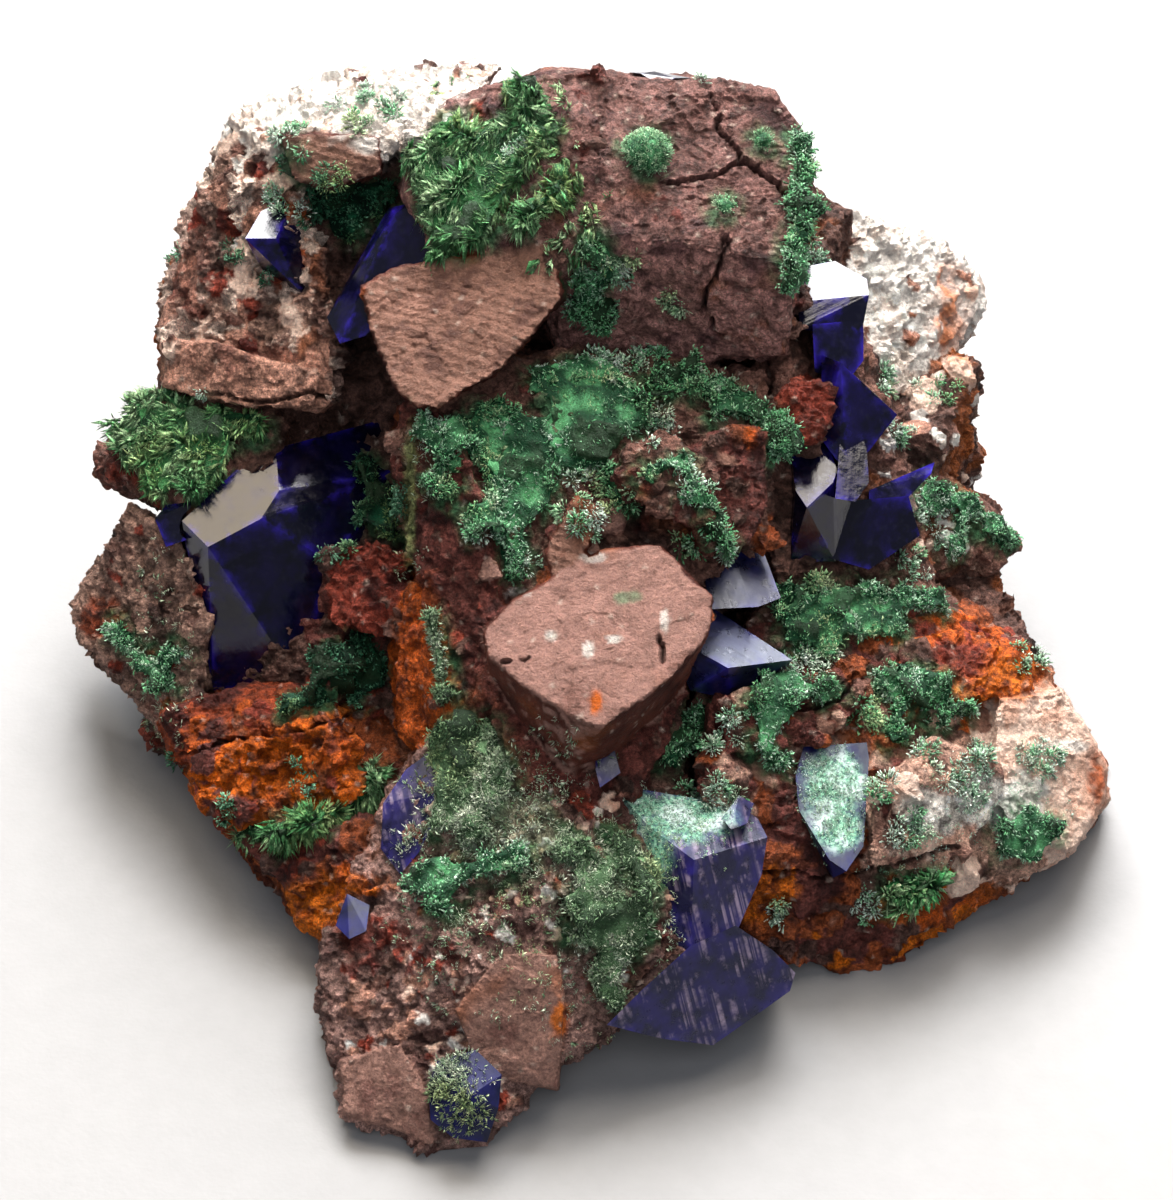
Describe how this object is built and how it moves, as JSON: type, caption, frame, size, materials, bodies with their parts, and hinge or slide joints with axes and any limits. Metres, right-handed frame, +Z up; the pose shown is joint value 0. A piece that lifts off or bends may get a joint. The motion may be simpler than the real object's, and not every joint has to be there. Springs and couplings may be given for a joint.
{
  "type": "azurite and malachite mineral specimen",
  "caption": "Hand specimen of deep blue azurite crystals and green malachite tufts on rusty brown matrix, its underside sawn flat to stand on a table.",
  "frame": {"origin": "centre of the bounding box on the sawn base", "axes": "+Z up from the table, +X along the longest width of the specimen, +Y from the sloping show face to the back"},
  "size_m": [0.0988, 0.0921, 0.0633],
  "materials": {
    "gossan_matrix": "matt granular iron-stained rock, maroon-brown to ochre",
    "azurite": "glassy deep blue crystal, clearest at its thin edges",
    "malachite": "silky green tufts and velvety crusts"
  },
  "bodies": {
    "root": {"azurite_coated_prism": "azurite", "azurite_crest": "azurite", "azurite_foot": "azurite", "azurite_foot_chip": "azurite", "azurite_left_chip": "azurite", "azurite_left_giant": "azurite", "azurite_left_rim": "azurite", "azurite_lower_left": "azurite", "azurite_lower_right": "azurite", "azurite_middle_pair": "azurite", "azurite_right_cluster": "azurite", "azurite_under_slab": "azurite", "azurite_upper_blade": "azurite", "malachite_back_high": "malachite", "malachite_back_low": "malachite", "malachite_ball_large": "malachite", "malachite_ball_low": "malachite", "malachite_ball_right": "malachite", "malachite_block_rim": "malachite", "malachite_centre": "malachite", "malachite_chain": "malachite", "malachite_field_lump": "malachite", "malachite_field_rim": "malachite", "malachite_groove": "malachite", "malachite_hollow_floor": "malachite", "malachite_hollow_tufts": "malachite", "malachite_left_hollow": "malachite", "malachite_left_lawn": "malachite", "malachite_left_rim": "malachite", "malachite_lower_field": "malachite", "malachite_lower_left": "malachite", "malachite_mid_lobe": "malachite", "malachite_mound": "malachite", "malachite_septum": "malachite", "malachite_shoulder": "malachite", "malachite_shrub": "malachite", "malachite_slab_foot": "malachite", "malachite_sprays": "malachite", "malachite_terrace_back": "malachite", "malachite_terrace_left": "malachite", "malachite_terrace_right": "malachite", "matrix_rock": "gossan_matrix"}
  },
  "joints": []
}
